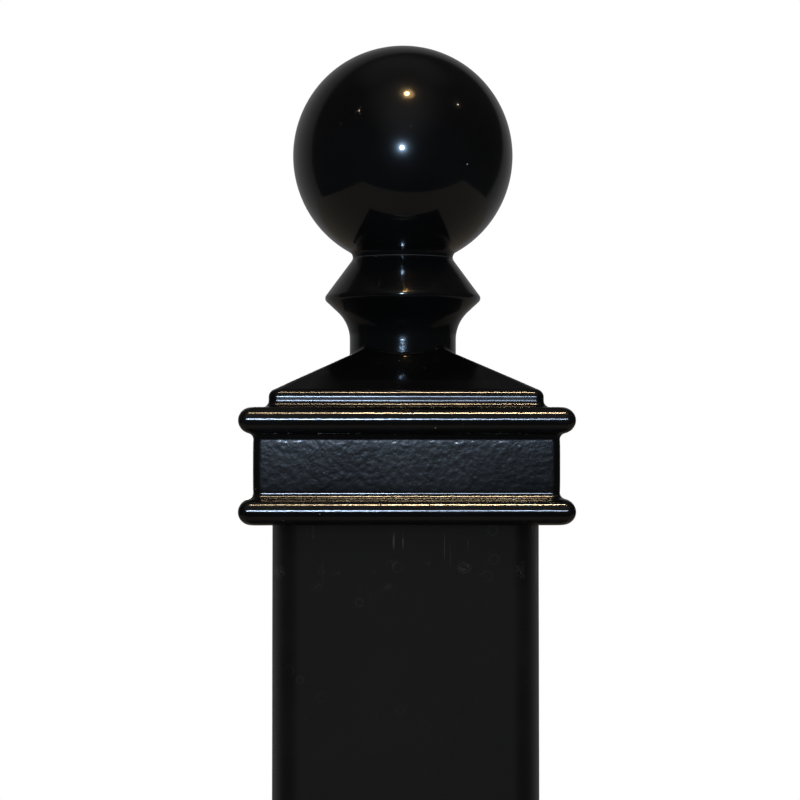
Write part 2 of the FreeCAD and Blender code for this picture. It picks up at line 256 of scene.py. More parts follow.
# ====================================================================
# meshes: rings of points joined into closed skins
# ====================================================================
def rounded_square(half, corner_r, side_count, corner_count):
    """Outline points, counter-clockwise from the -Y end of the +X side's flat."""
    flat = half - corner_r
    points = []
    for k in range(4):
        c, s = (1, 0, -1, 0)[k], (0, 1, 0, -1)[k]
        for i in range(side_count):
            y = -flat + 2 * flat * i / side_count
            points.append((c * half - s * y, s * half + c * y))
        for i in range(corner_count):
            a = math.pi / 2 * i / corner_count
            x = flat + corner_r * math.cos(a)
            y = flat + corner_r * math.sin(a)
            points.append((c * x - s * y, s * x + c * y))
    return np.array(points)


def round_like(ring, radius):
    """A circle whose points lie in the same directions as the ring's."""
    return ring / np.linalg.norm(ring, axis=1)[:, None] * radius


def at_height(flat_ring, z):
    """The flat ring lifted to one height, or to a height for each point."""
    z = np.broadcast_to(np.asarray(z, float), (len(flat_ring),))
    return np.column_stack([flat_ring, z])


def skin(name, rings, body, material, loop=False, close_ends=False):
    """A mesh of rings joined into quads. loop joins the last ring to the first; close_ends
    puts a fan on each end."""
    rings = np.asarray(rings)
    count, around = rings.shape[:2]
    points = rings.reshape(-1, 3)
    rows = count if loop else count - 1
    i = np.arange(rows)[:, None]
    j = np.arange(around)[None, :]
    up, right = (i + 1) % count, (j + 1) % around
    quads = np.stack([i * around + j, i * around + right, up * around + right,
                      up * around + j], axis=-1)
    faces = quads.reshape(-1, 4).tolist()
    if close_ends:
        low, high = len(points), len(points) + 1
        points = np.vstack([points, rings[0].mean(0), rings[-1].mean(0)])
        last = (count - 1) * around
        for k in range(around):
            n = (k + 1) % around
            faces.append((low, n, k))
            faces.append((high, last + k, last + n))
    mesh = bpy.data.meshes.new(name)
    mesh.from_pydata(points.tolist(), [], faces)
    mesh.validate()
    mesh.shade_smooth()
    piece = bpy.data.objects.new(name, mesh)
    bpy.context.scene.collection.objects.link(piece)
    mesh.materials.append(material)
    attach(piece, body)
    return piece


def ring_normals(rings, loop):
    """Outward normals of a ring grid."""
    along = np.roll(rings, -1, 1) - np.roll(rings, 1, 1)
    if loop:
        across = np.roll(rings, -1, 0) - np.roll(rings, 1, 0)
    else:
        across = np.gradient(rings, axis=0)
    normal = np.cross(along, across)
    length = np.linalg.norm(normal, axis=2, keepdims=True)
    return normal / np.maximum(length, 1e-12)


def bumps(points, size, seed):
    """Smooth noise, about -1 to 1, with features of the given size."""
    shift = Vector([seed * amount for amount in SEED_SHIFT])
    return np.array([noise.noise(Vector(p) / size + shift) for p in points])


def cast_skin(rings, weight, layers, loop):
    """Pushes the rings in and out like a sand casting under a thick coat.
    layers is a list of (feature size, height, seed); weight has one number for each ring."""
    rings = np.asarray(rings)
    flat = rings.reshape(-1, 3)
    keep = np.repeat(np.asarray(weight), rings.shape[1])
    active = keep > 0
    push = np.zeros(len(flat))
    for size, height, seed in layers:
        push[active] += height * bumps(flat[active], size, seed)
    push *= keep
    normals = ring_normals(rings, loop).reshape(-1, 3)
    return (flat + normals * push[:, None]).reshape(rings.shape)


# ====================================================================
# materials
# ====================================================================
class Graph:
    """A short way to write a node tree. Each method adds a node and, add() and blend()
    apart, gives its output."""

    def __init__(self, tree):
        self.tree = tree
        tree.nodes.clear()

    def add(self, kind, inputs=None, **settings):
        node = self.tree.nodes.new(kind)
        for key, value in settings.items():
            setattr(node, key, value)
        for key, value in (inputs or {}).items():
            if isinstance(value, bpy.types.NodeSocket):
                self.tree.links.new(value, node.inputs[key])
            else:
                node.inputs[key].default_value = value
        return node

    def math(self, operation, a, b=0.0, clamp=False):
        return self.add("ShaderNodeMath", {0: a, 1: b}, operation=operation,
                        use_clamp=clamp).outputs[0]

    def plus(self, a, b):
        return self.math("ADD", a, b)

    def minus(self, a, b):
        return self.math("SUBTRACT", a, b)

    def times(self, a, b):
        return self.math("MULTIPLY", a, b)

    def ramp(self, value, low, high, to_low=0.0, to_high=1.0):
        return self.add("ShaderNodeMapRange",
                        {"Value": value, "From Min": low, "From Max": high,
                         "To Min": to_low, "To Max": to_high},
                        interpolation_type="SMOOTHSTEP").outputs["Result"]

    def mix(self, share, a, b):
        node = self.add("ShaderNodeMix", {"Factor": share, "A": a, "B": b}, data_type="RGBA")
        return node.outputs["Result"]

    def blend(self, share, under, over):
        return self.add("ShaderNodeMixShader",
                        {0: share, 1: under.outputs[0], 2: over.outputs[0]})

    def axes(self, vector):
        return self.add("ShaderNodeSeparateXYZ", {0: vector}).outputs

    def noise(self, where, scale, detail=2.0, rough=0.5, distortion=0.0):
        return self.add("ShaderNodeTexNoise",
                        {"Vector": where, "Scale": scale, "Detail": detail,
                         "Roughness": rough, "Distortion": distortion}).outputs["Fac"]

    def stretched(self, where, scale):
        return self.add("ShaderNodeMapping", {"Vector": where, "Scale": scale}).outputs[0]


def new_material(name):
    """A material with its graph and the place on the piece."""
    material = bpy.data.materials.new(name)
    material.use_nodes = True
    graph = Graph(material.node_tree)
    place = graph.add("ShaderNodeTexCoord").outputs["Object"]
    return material, graph, place


def finish_material(graph, **inputs):
    """Ends the graph in a principled shader; Base_Color stands for its Base Color input."""
    shader = graph.add("ShaderNodeBsdfPrincipled",
                       {key.replace("_", " "): value for key, value in inputs.items()})
    graph.add("ShaderNodeOutputMaterial", {"Surface": shader.outputs[0]})


def rgb(level, tint=(1, 1, 1)):
    """An opaque grey of this level, tinted."""
    return (level * tint[0], level * tint[1], level * tint[2], 1)


def nibs(graph, place, density, size, share):
    """Sparse specks: dust caught in the coat, in a share of the cells. Up to 1 on a speck,
    0 elsewhere."""
    cells = graph.add("ShaderNodeTexVoronoi", {"Vector": place, "Scale": density}).outputs
    random = graph.add("ShaderNodeSeparateColor", {0: cells["Color"]}).outputs
    near = graph.ramp(cells["Distance"], size, size * 0.35)
    chosen = graph.times(graph.math("LESS_THAN", random[0], share),
                         graph.ramp(random[1], 0.0, 1.0, 0.15, 1.0))
    return graph.times(near, chosen)


def height_of(graph, place):
    """The z of a place. The pieces' origins are the frame's, so it is the height at rest."""
    return graph.axes(place)[2]


def band(graph, z, low, high, soft):
    """1 between two heights above the collar's edge, 0 beyond them."""
    return graph.times(graph.ramp(z, CAP_Z + low - soft, CAP_Z + low + soft),
                       graph.ramp(z, CAP_Z + high + soft, CAP_Z + high - soft))


def cap_zones(graph, place):
    """Shares of orange peel and coat, roughness of the body, and dust, over the cap: the
    panels are hazier than the beads, and the plinth and roof are smoother."""
    z = height_of(graph, place)
    cove_dz = bead_cove(BEAD_X, BEAD_R, PANEL_HALF)[0]
    panel = band(graph, z, BEAD_R + cove_dz + 0.7 * MM, TOP_BEAD_UP - cove_dz - 0.5 * MM,
                 0.5 * MM)
    low_bead = band(graph, z, 0.3 * MM, BEAD_R + 3.5 * MM, 0.3 * MM)
    top_bead = band(graph, z, TOP_BEAD_UP - 4.6 * MM, TOP_BEAD_UP + 3.5 * MM, 0.3 * MM)
    beads = graph.times(graph.plus(low_bead, top_bead), 1 - PLINTH_PEEL)
    peel = graph.plus(graph.times(panel, PANEL_PEEL - PLINTH_PEEL), beads)
    peel = graph.plus(peel, PLINTH_PEEL)
    mottle = graph.times(graph.minus(graph.noise(place, 330, 2.0), 0.5), MOTTLE)
    haze = graph.times(panel, graph.plus(mottle, PANEL_HAZE - HAZE))
    ledge_z = CAP_Z + TOP_BEAD_UP + BEAD_R
    ledge = graph.ramp(z, ledge_z - 0.6 * MM, ledge_z - 0.2 * MM, 0.0, LEDGE_COAT - 1.0)
    roof = graph.ramp(z, ledge_z + 0.7 * MM, ledge_z + 1.0 * MM, 0.0,
                      ROOF_COAT - LEDGE_COAT)
    top_cove = band(graph, z, TOP_BEAD_UP - cove_dz + 0.2 * MM, TOP_BEAD_UP - 3.3 * MM,
                    0.4 * MM)
    coat = graph.plus(graph.times(panel, PANEL_COAT - 1.0), graph.plus(ledge, roof))
    coat = graph.plus(coat, graph.times(top_cove, COVE_COAT - 1.0))
    return peel, graph.plus(coat, 1.0), graph.plus(haze, HAZE), 0.0


def neck_zones(graph, place):
    """The neck: duller in the hollow under the girdle and in the waist, with a pale line
    painted into its joint line as a highlight."""
    z = height_of(graph, place)
    hollow = band(graph, z, NECK_COVE_UP + 2 * MM, GIRDLE_UP - 0.8 * MM, 0.8 * MM)
    waist = graph.ramp(z, CAP_Z + CREASE_UP - 0.9 * MM, CAP_Z + CREASE_UP - 0.3 * MM)
    coat = graph.plus(graph.times(hollow, HOLLOW_COAT - 1.0),
                      graph.times(waist, WAIST_COAT - 1.0))
    # painted highlight: a thin pale band round the joint line, standing in for its light line
    painted_highlight_line = band(graph, z, CREASE_UP - 0.12 * MM, CREASE_UP + 0.12 * MM, 0.08 * MM)
    return 1.0, graph.plus(coat, 1.0), HAZE, graph.times(painted_highlight_line, CREASE_PAINTED_HIGHLIGHT)


def ball_zones(graph, place):
    """The ball: even all over, but dull in the fillet at its foot."""
    z = height_of(graph, place)
    coat = graph.ramp(z, CAP_Z + CREASE_UP + 2.0 * MM, CAP_Z + CREASE_UP + 3.4 * MM,
                      BALL_FOOT_COAT, 1.0)
    return 1.0, coat, HAZE, 0.0


def gloss_coat(name, peel, zones, nib_share, gloss=GLOSS, grain=0.18):
    """Gloss black powder coat: a sharp top coat over a slightly hazy body. peel is the height
    of its orange peel, in metres, and grain the share of fine grain in it. zones gives the
    shares of peel and coat, the haze and the painted highlight line over the piece."""
    material, graph, place = new_material(name)
    peel_share, coat, haze, painted_highlight_line = zones(graph, place)
    coarse = graph.noise(place, PEEL_GRAIN, 1.0)
    fine = graph.noise(place, FINE_GRAIN, 1.0)
    speck = nibs(graph, place, NIB_CELLS, NIB_SIZE, nib_share)
    height = graph.plus(coarse, graph.times(fine, grain))
    bump = graph.add("ShaderNodeBump", {"Strength": 1.0, "Height": height,
                                        "Distance": graph.times(peel_share, peel)})
    dusty = graph.add("ShaderNodeBump", {"Strength": 1.0, "Distance": 0.05 * MM,
                                         "Height": speck, "Normal": bump.outputs[0]})
    patch = graph.noise(place, 35, 3.0)
    body = graph.times(graph.ramp(patch, 0.35, 0.7, 0.92, 1.1), haze)
    top = graph.ramp(patch, 0.35, 0.7, gloss * 0.85, gloss * 1.25)
    colour = graph.mix(graph.ramp(patch, 0.3, 0.7), rgb(0.0014), rgb(0.0020, (1, 1, 1.1)))
    colour = graph.mix(graph.times(speck, 0.5), colour, rgb(DUST_AND_PAINTED_HIGHLIGHT))
    # the painted highlight line in the neck's joint, mixed into the colour as a pale band
    colour = graph.mix(painted_highlight_line, colour, rgb(DUST_AND_PAINTED_HIGHLIGHT, (1, 0.95, 0.88)))
    finish_material(graph, Base_Color=colour, Roughness=body, IOR=COAT_IOR,
                    Specular_IOR_Level=BODY_SPECULAR, Normal=dusty.outputs[0],
                    Coat_Weight=graph.times(coat, COAT_WEIGHT), Coat_Roughness=top,
                    Coat_IOR=COAT_IOR, Coat_Normal=dusty.outputs[0])
    return material


def satin_coat(name, scuffed):
    """Satin black powder coat; scuffed adds the rub marks of a sliding cap."""
    material, graph, place = new_material(name)
    grain = graph.noise(place, 2600, 2.0)
    peel = graph.noise(place, 520, 2.0)
    height = graph.plus(graph.times(grain, 0.35), peel)
    bump = graph.add("ShaderNodeBump", {"Strength": 0.6, "Distance": 0.02 * MM,
                                        "Height": height}).outputs[0]
    patch = graph.noise(place, 28, 4.0, 0.6)
    colour = graph.mix(graph.ramp(patch, 0.3, 0.7), rgb(0.0036, (1, 1, 1.02)),
                       rgb(0.0050, (1, 0.99, 0.97)))
    roughness = graph.ramp(patch, 0.25, 0.75, 0.37, 0.43)
    if scuffed:
        marks = scuff_marks(graph, place)
        colour = graph.mix(marks, colour, rgb(0.055, (1, 1.02, 1.06)))
        roughness = graph.minus(roughness, graph.times(marks, 0.1))
    finish_material(graph, Base_Color=colour, Roughness=roughness, IOR=COAT_IOR,
                    Specular_IOR_Level=0.12, Normal=bump)
    return material


def scuff_marks(graph, place):
    """Fine upright scratches and short rubs just under the collar, and a few faint rings."""
    z = height_of(graph, place)
    under_collar = graph.ramp(z, CAP_Z - 34 * MM, CAP_Z - 4 * MM)
    lines = graph.noise(graph.stretched(place, (900, 900, 34)), 1.0, 1.0)
    lines = graph.ramp(lines, 0.66, 0.74)
    where = graph.ramp(graph.noise(place, 75, 2.0), 0.50, 0.60)
    upright = graph.times(graph.times(lines, where), under_collar)

    rub = graph.noise(graph.stretched(place, (300, 300, 260)), 1.0, 2.0, 0.5, 3.0)
    rub = graph.ramp(graph.math("ABSOLUTE", graph.minus(rub, 0.5)), 0.016, 0.006)
    rub_zone = graph.times(graph.ramp(z, CAP_Z - 26 * MM, CAP_Z - 20 * MM),
                           graph.ramp(z, CAP_Z - 12 * MM, CAP_Z - 16 * MM))
    patches = graph.ramp(graph.noise(place, 110, 1.0), 0.58, 0.64)
    rub = graph.times(graph.times(rub, patches), rub_zone)

    cells = graph.add("ShaderNodeTexVoronoi", {"Vector": place, "Scale": 105.0}).outputs
    off_ring = graph.math("ABSOLUTE", graph.minus(cells["Distance"], 0.2))
    circle = graph.ramp(off_ring, 0.035, 0.005)
    near = graph.times(graph.ramp(z, CAP_Z - 100 * MM, CAP_Z - 40 * MM),
                       graph.ramp(graph.noise(place, 40, 2.0), 0.50, 0.58))
    faint = graph.times(circle, near)

    total = graph.plus(graph.times(upright, 0.55), graph.times(rub, 0.8))
    return graph.math("ADD", total, graph.times(faint, 0.10), clamp=True)


def bright_steel(name, level, roughness, tint=(1, 1, 1)):
    """Plated steel, finely streaked."""
    material, graph, place = new_material(name)
    streak = graph.noise(graph.stretched(place, (300, 300, 2200)), 1.0, 3.0)
    colour = graph.mix(streak, rgb(level * 0.85, tint), rgb(level * 1.1, tint))
    bump = graph.add("ShaderNodeBump", {"Strength": 0.4, "Distance": 0.02 * MM,
                                        "Height": streak}).outputs[0]
    finish_material(graph, Base_Color=colour, Metallic=1.0, Normal=bump,
                    Roughness=graph.ramp(streak, 0.2, 0.8, roughness, roughness * 1.5))
    return material


GLOSS_CAST = gloss_coat("gloss_black_cast", CAP_PEEL, cap_zones, CAP_NIBS)
GLOSS_NECK = gloss_coat("gloss_black_turned", NECK_PEEL, neck_zones, NECK_NIBS,
                        TURNED_GLOSS, grain=0.6)
GLOSS_BALL = gloss_coat("gloss_black_ball", BALL_PEEL, ball_zones, BALL_NIBS, TURNED_GLOSS)
SATIN_TUBE = satin_coat("satin_black_tube", True)
SATIN_FOOT = satin_coat("satin_black_foot", False)
ZINC = bright_steel("zinc_steel", 0.62, 0.28, (1, 1.01, 1.03))
OXIDE = bright_steel("black_oxide", 0.07, 0.35, (1, 1, 1.05))


# ====================================================================
# the pieces
# ====================================================================
def square_ring(half, z, corner_r=MITRE_R):
    """A ring of the castings: a square with small rounded corners."""
    return at_height(rounded_square(half, corner_r, SIDE_POINTS, CORNER_POINTS), z)


def roof_height(xy):
    """Height of the pyramid above the collar's edge, with its hips slightly softened."""
    a, b = np.abs(xy[:, 0]), np.abs(xy[:, 1])
    overlap = np.maximum(0, HIP_SOFTNESS - np.abs(a - b))
    widest = np.maximum(a, b) + overlap ** 2 / (4 * HIP_SOFTNESS)
    return APEX_UP - widest * math.tan(ROOF)


def collar_outline():
    """Outside of the cap from the lower edge to the top of the plinth's rounding."""
    top = CAP_Z + TOP_BEAD_UP
    low = CAP_Z + BEAD_R
    cove_x = PANEL_HALF + COVE_R
    cove_dz, touch = bead_cove(BEAD_X, BEAD_R, PANEL_HALF)
    turn = 90 - math.degrees(ROOF)
    eave_x = PLINTH_HALF - EAVE_R
    eave_z = CAP_Z + EAVE_UP - EAVE_R * math.tan(math.radians(turn / 2))
    foot_z = top + BEAD_R + PLINTH_FOOT_R
    middle = (low + top) / 2
    reach = (top - low) / 2 - cove_dz
    crown = [(PANEL_HALF + PANEL_CROWN * (1 - t ** 2) + PANEL_EDGE * (1 - t ** 6),
              middle + t * reach) for t in np.linspace(-0.95, 0.95, 39)]
    return joined(arc(BEAD_X, low, BEAD_R, -90, touch),
                  arc(cove_x, low + cove_dz, COVE_R, 180 + touch, 180), crown,
                  arc(cove_x, top - cove_dz, COVE_R, 180, 180 - touch),
                  arc(BEAD_X, top, BEAD_R, -touch, 90),
                  arc(PLINTH_HALF + PLINTH_FOOT_R, foot_z, PLINTH_FOOT_R, 270, 180),
                  arc(eave_x, eave_z, EAVE_R, 0, turn))


def roof_rings(eave_ring):
    """The pyramid, from the eave in to the lip round the neck's socket."""
    outer = eave_ring[:, :2]
    hole = round_like(outer, SOCKET_R + LIP_W)
    level = eave_ring[0, 2]
    mismatch = level - CAP_Z - roof_height(outer)
    rings = []
    for k in range(1, ROOF_STEPS + 1):
        t = k / ROOF_STEPS
        xy = outer * (1 - t) + hole * t
        rings.append(at_height(xy, CAP_Z + roof_height(xy) + mismatch * (1 - t) ** 8))
    return rings


def lip_rings(flat_ring):
    """The small raised lip round the socket, and the socket's wall down to its floor."""
    rings = []
    for k in range(1, LIP_STEPS + 1):
        a = math.pi / 2 * k / LIP_STEPS
        xy = round_like(flat_ring, SOCKET_R + LIP_W * (1 - math.sin(a)))
        rings.append(at_height(xy, CAP_Z + roof_height(xy) + LIP_H * (1 - math.cos(a))))
    wall = round_like(flat_ring, SOCKET_R)
    top = rings[-1][:, 2]
    for share in (0.15, 0.5, 1.0):
        rings.append(at_height(wall, top * (1 - share) + SOCKET_Z * share))
    return rings


def cap_inside_rings(flat_ring):
    """From the socket's floor through the rod hole, the boss and the cavity to the bore."""
    square = flat_ring / np.abs(flat_ring).max(axis=1)[:, None]
    inner_apex = CAP_Z + APEX_UP - ROOF_T
    boss_half = (inner_apex - CAP_Z - BOSS_UP) / math.tan(ROOF)
    boss_z = CAP_Z + BOSS_UP
    foot_z = inner_apex - CAVITY_HALF * math.tan(ROOF)
    hole = round_like(flat_ring, ROD_HOLE_R)
    bore_half = TUBE_HALF + SLIP_GAP
    rings = [at_height(hole, SOCKET_Z), at_height(hole, boss_z)]
    rings.append(at_height(round_like(flat_ring, boss_half * 0.6), boss_z))
    rings.append(at_height(square * boss_half, boss_z))
    rings.append(at_height(square * CAVITY_HALF, foot_z))
    rings.append(at_height(square * CAVITY_HALF, STOP_Z))
    rings.append(square_ring(bore_half, STOP_Z, TUBE_CORNER_R + SLIP_GAP))
    rings.append(square_ring(bore_half, CAP_Z, TUBE_CORNER_R + SLIP_GAP))
    return rings


def sharpened(rings, edge=0.12 * MM):
    """Doubles the rings at a hard corner, so that smooth shading doesn't round it."""
    rings = [np.asarray(r) for r in rings]
    result = [rings[0]]
    for before, here, after in zip(rings, rings[1:], rings[2:] + [rings[-1]]):
        for other in (before, after):
            gap = other - here
            length = np.linalg.norm(gap, axis=1, keepdims=True)
            step = np.minimum(edge / np.maximum(length, 1e-12), 0.3)
            result.append(here + gap * step)
    return result


def build_cap():
    """The cap: outside up, over the roof, down the socket, and out again through the
    inside."""
    outside = [square_ring(x, z) for x, z in collar_outline()]
    roof = roof_rings(outside[-1])
    lip = lip_rings(roof[-1][:, :2])
    inside = sharpened([lip[-1]] + cap_inside_rings(roof[-1][:, :2]))[1:]
    rings = outside + roof + lip + inside
    weight = [1.0] * (len(outside) + len(roof)) + [0.4] * LIP_STEPS
    weight += [0.0] * (len(rings) - len(weight))
    rings = cast_skin(rings, weight, CAP_WAVES, True)
    cap = skin("cap_shell", rings, "cap", GLOSS_CAST, loop=True)
    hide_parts("cap_casting")


def waist_centre():
    """Centre of the waist's fillet, tangent to the upper cone and to the ball."""
    cone = math.radians(CONE)
    normal = (math.cos(cone), math.sin(cone))
    girdle_z = CAP_Z + GIRDLE_UP
    offset = normal[0] * GIRDLE_R + normal[1] * girdle_z + WAIST_ROUND
    gap = normal[1] * BALL_Z - offset
    along = -math.sqrt((BALL_R + WAIST_ROUND) ** 2 - gap ** 2)
    return (-normal[0] * gap - normal[1] * along,
            BALL_Z - normal[1] * gap + normal[0] * along)


def girdle_centre():
    """Centre of the girdle's rounding, between its underside and the upper cone."""
    half_turn = math.radians((UNDER + CONE) / 2)
    lean = math.radians((CONE - UNDER) / 2)
    back = GIRDLE_ROUND / math.cos(half_turn)
    return (GIRDLE_R - back * math.cos(lean), CAP_Z + GIRDLE_UP - back * math.sin(lean))


def circle_ring(radius, z):
    """A ring of the turned pieces."""
    angles = np.linspace(0, 2 * np.pi, LATHE_POINTS, endpoint=False)
    return at_height(np.column_stack([np.cos(angles), np.sin(angles)]) * radius, z)


def build_neck():
    """The turned neck: outside up to the joint line, over the spigot and down the bore."""
    waist = waist_centre()
    girdle = girdle_centre()
    cove_x = NECK_R + NECK_COVE_R
    seam = waist[0] - WAIST_ROUND - SEAM_ROUND
    outline = joined([(NECK_R - 0.4 * MM, SOCKET_Z), (NECK_R, SOCKET_Z + 0.4 * MM)],
                     arc(cove_x, CAP_Z + NECK_COVE_UP, NECK_COVE_R, 180, 180 - UNDER),
                     arc(*girdle, GIRDLE_ROUND, -UNDER, CONE, FILLET_STEP),
                     arc(*waist, WAIST_ROUND, 180 + CONE, 186, FILLET_STEP),
                     [(seam + 0.07 * MM, waist[1] - 0.06 * MM), (seam, waist[1])])
    rings = [circle_ring(x, z) for x, z in outline]
    rings = list(cast_skin(rings, [0.7] * len(rings), NECK_WAVES, False))
    spigot_z = waist[1] + SPIGOT_H
    bore_z = CAP_Z + NECK_BORE_UP
    core = [(SPIGOT_R, waist[1]), (SPIGOT_R, spigot_z), (ROD_HOLE_R, spigot_z),
            (ROD_HOLE_R, bore_z), (NECK_BORE_R, bore_z), (NECK_BORE_R, SOCKET_Z)]
    inner = sharpened([rings[-1]] + [circle_ring(x, z) for x, z in core])[1:]
    neck = skin("neck_turning", rings + inner, "finial", GLOSS_NECK,
                loop=True)
    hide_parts("finial_neck")


def build_ball():
    """The ball: out from the spigot's recess to the joint line, then up and over."""
    waist = waist_centre()
    touch = math.degrees(math.atan2(BALL_Z - waist[1], -waist[0]))
    seam = waist[0] - WAIST_ROUND - SEAM_ROUND
    recess_r = SPIGOT_R + 0.05 * MM
    foot_z = waist[1] + 0.02 * MM
    outline = joined([(recess_r, waist[1] + SPIGOT_H), (recess_r, foot_z)],
                     [(seam, foot_z), (seam + 0.07 * MM, waist[1] + 0.08 * MM)],
                     arc(*waist, WAIST_ROUND, 174, touch, FILLET_STEP),
                     arc(0, BALL_Z, BALL_R, touch - 180, 89.2, 0.7 * MM))
    rings = [circle_ring(x, z) for x, z in outline]
    plain = 6                           # the rings of the recess stay true
    weight = [0.0] * plain + [1.0] * (len(rings) - plain)
    rings = cast_skin(rings, weight, BALL_WAVES, False)
    ball = skin("ball_shell", rings, "finial", GLOSS_BALL, close_ends=True)
    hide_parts("finial_ball")


def build_tube():
    """The post: outside up, over the end, and down the inside."""
    inner_half = TUBE_HALF - TUBE_WALL
    inner_r = TUBE_CORNER_R - TUBE_WALL
    bottom, top = TUBE_LOW.z, TUBE_HIGH.z

    def ring(half, corner_r, z):
        flat = rounded_square(half, corner_r, TUBE_SIDE_POINTS, TUBE_CORNER_POINTS)
        return at_height(flat, z)

    heights = np.arange(bottom + 0.5 * MM, top - 0.4 * MM, TUBE_ROW)
    outer = [ring(TUBE_HALF, TUBE_CORNER_R, z) for z in heights]
    outer.append(ring(TUBE_HALF, TUBE_CORNER_R, top - 0.35 * MM))
    outer = list(cast_skin(outer, [1.0] * len(outer), TUBE_WAVES, False))
    over = [ring(TUBE_HALF - TUBE_EDGE, TUBE_CORNER_R - TUBE_EDGE, top),
            ring(inner_half + TUBE_EDGE, inner_r + TUBE_EDGE, top),
            ring(inner_half, inner_r, top - 0.4 * MM),
            ring(inner_half, inner_r, bottom + 0.4 * MM),
            ring(inner_half + TUBE_EDGE, inner_r + TUBE_EDGE, bottom),
            ring(TUBE_HALF - TUBE_EDGE, TUBE_CORNER_R - TUBE_EDGE, bottom)]
    tube = skin("post_skin", outer + over, "post", SATIN_TUBE, loop=True)
    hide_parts("post_tube")


def build_cover():
    """The loose foot cover: skirt, sloping shoulder and beaded collar."""
    half = COVER_HIGH.x
    low = COVER_LOW.z
    turn = 90 - math.degrees(ROOF)
    slope = math.tan(ROOF)
    edge_z = low + COVER_SKIRT - COVER_EDGE_R * math.tan(math.radians(turn / 2))
    corner_z = low + COVER_SKIRT + (half - COVER_COLLAR_HALF) * slope
    foot_x = COVER_COLLAR_HALF + COVER_FOOT_R
    foot_z = corner_z + COVER_FOOT_R * math.tan(math.radians(turn / 2))
    bead_x = COVER_COLLAR_HALF + COVER_BEAD_OUT
    bead_z = COVER_HIGH.z - COVER_BEAD_R
    cove_dz, touch = bead_cove(bead_x, COVER_BEAD_R, COVER_COLLAR_HALF)
    outline = joined([(half - 0.3 * MM, low), (half, low + 0.3 * MM)],
                     arc(half - COVER_EDGE_R, edge_z, COVER_EDGE_R, 0, turn),
                     arc(foot_x, foot_z, COVER_FOOT_R, 180 + turn, 180),
                     arc(COVER_COLLAR_HALF + COVE_R, bead_z - cove_dz, COVE_R, 180,
                         180 - touch),
                     arc(bead_x, bead_z, COVER_BEAD_R, -touch, 90), step=1.2 * MM)
    outer = [square_ring(x, z) for x, z in outline]
    bore = TUBE_HALF + SLIP_GAP
    bore_r = TUBE_CORNER_R + SLIP_GAP
    inside_half = half - COVER_WALL
    roof_low = low + COVER_SKIRT - COVER_WALL
    core = [square_ring(bore, COVER_HIGH.z, bore_r),
            square_ring(bore, roof_low + (inside_half - bore) * slope, bore_r),
            square_ring(inside_half, roof_low), square_ring(inside_half, low)]
    inner = sharpened([outer[-1]] + core)[1:]
    weight = [1.0] * len(outer) + [0.0] * len(inner)
    rings = cast_skin(outer + inner, weight, COVER_WAVES, True)
    cover = skin("foot_cover_shell", rings, "foot_cover", SATIN_FOOT,
                 loop=True)
    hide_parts("base_cover")


def build_weld():
    """A hand-laid fillet round the tube's foot, with its ripples."""
    leg = WELD_HIGH.x - TUBE_HALF
    steps = 12
    fullness = 0.16                     # how far the bead bulges, in legs
    ripple_count = 96
    ripple_height = 0.22 * MM
    lag = 1.6                           # the ripples bow, as in a pool of metal

    def ring(half, corner_r, z):
        flat = rounded_square(half, corner_r, WELD_SIDE_POINTS, WELD_CORNER_POINTS)
        return at_height(flat, z)

    rings = []
    for k in range(steps + 1):
        t = k / steps
        bulge = fullness * math.sin(math.pi * t)
        out = leg * (1 - t + bulge)
        up = leg * (t + bulge)
        rings.append(ring(TUBE_HALF + max(out, 0.05 * MM), TUBE_CORNER_R + out,
                          WELD_LOW.z + min(up, leg)))
    rings = np.array(rings)
    around = rings.shape[1]
    phase = np.arange(around) / around * ripple_count * 2 * np.pi
    bow = np.sin(np.linspace(0, np.pi, steps + 1))
    push = ripple_height * np.cos(phase[None, :] + lag * bow[:, None]) * bow[:, None]
    rings = rings + ring_normals(rings, False) * push[..., None]
    inner = [ring(TUBE_HALF, TUBE_CORNER_R, z) for z in (WELD_HIGH.z, WELD_LOW.z)]
    weld = skin("weld_bead", list(rings) + inner, "post", SATIN_FOOT,
                loop=True)
    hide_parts("foot_weld")


def build_rod():
    """The M10 tie rod with its thread cut as one spiral."""
    pitch = 1.5 * MM
    root_r, crest_r = 4.15 * MM, 5.0 * MM
    per_turn = 8                        # rings for each turn of the thread
    lead = 0.7                          # turns over which the thread runs out at the ends
    steepness, root_flat = 1.3, 0.1
    length = ROD_HIGH.z - ROD_LOW.z
    count = int(length / pitch * per_turn)
    angles = np.linspace(0, 2 * np.pi, 40, endpoint=False)
    rings = []
    for k in range(count + 1):
        wave = (k / per_turn + angles / (2 * np.pi)) % 1.0
        tooth = 1 - np.abs(2 * wave - 1)
        flank = np.clip(tooth * steepness - root_flat, 0, 1)
        radius = root_r + (crest_r - root_r) * flank
        taper = min(k, count - k) / (per_turn * lead)
        radius = np.minimum(radius, root_r - 0.3 * MM + taper * 1.2 * MM)
        xy = np.column_stack([np.cos(angles), np.sin(angles)]) * radius[:, None]
        rings.append(at_height(xy, ROD_LOW.z + length * k / count))
    rod = skin("tie_rod_thread", rings, "finial", ZINC, close_ends=True)
    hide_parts("tie_rod")


def dress(node, material):
    """A CAD node that stays in view takes a procedural finish."""
    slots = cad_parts[node].data.materials
    slots.clear()
    slots.append(material)


build_cap()
build_neck()
build_ball()
build_tube()
build_cover()
build_weld()
build_rod()
for cad_node in ("tie_nut", "tie_washer", "tie_lock_washer"):
    dress(cad_node, ZINC)
for cad_node in ("cap_set_screws", "base_cover_screws"):
    dress(cad_node, OXIDE)
dress("base_plate", SATIN_FOOT)


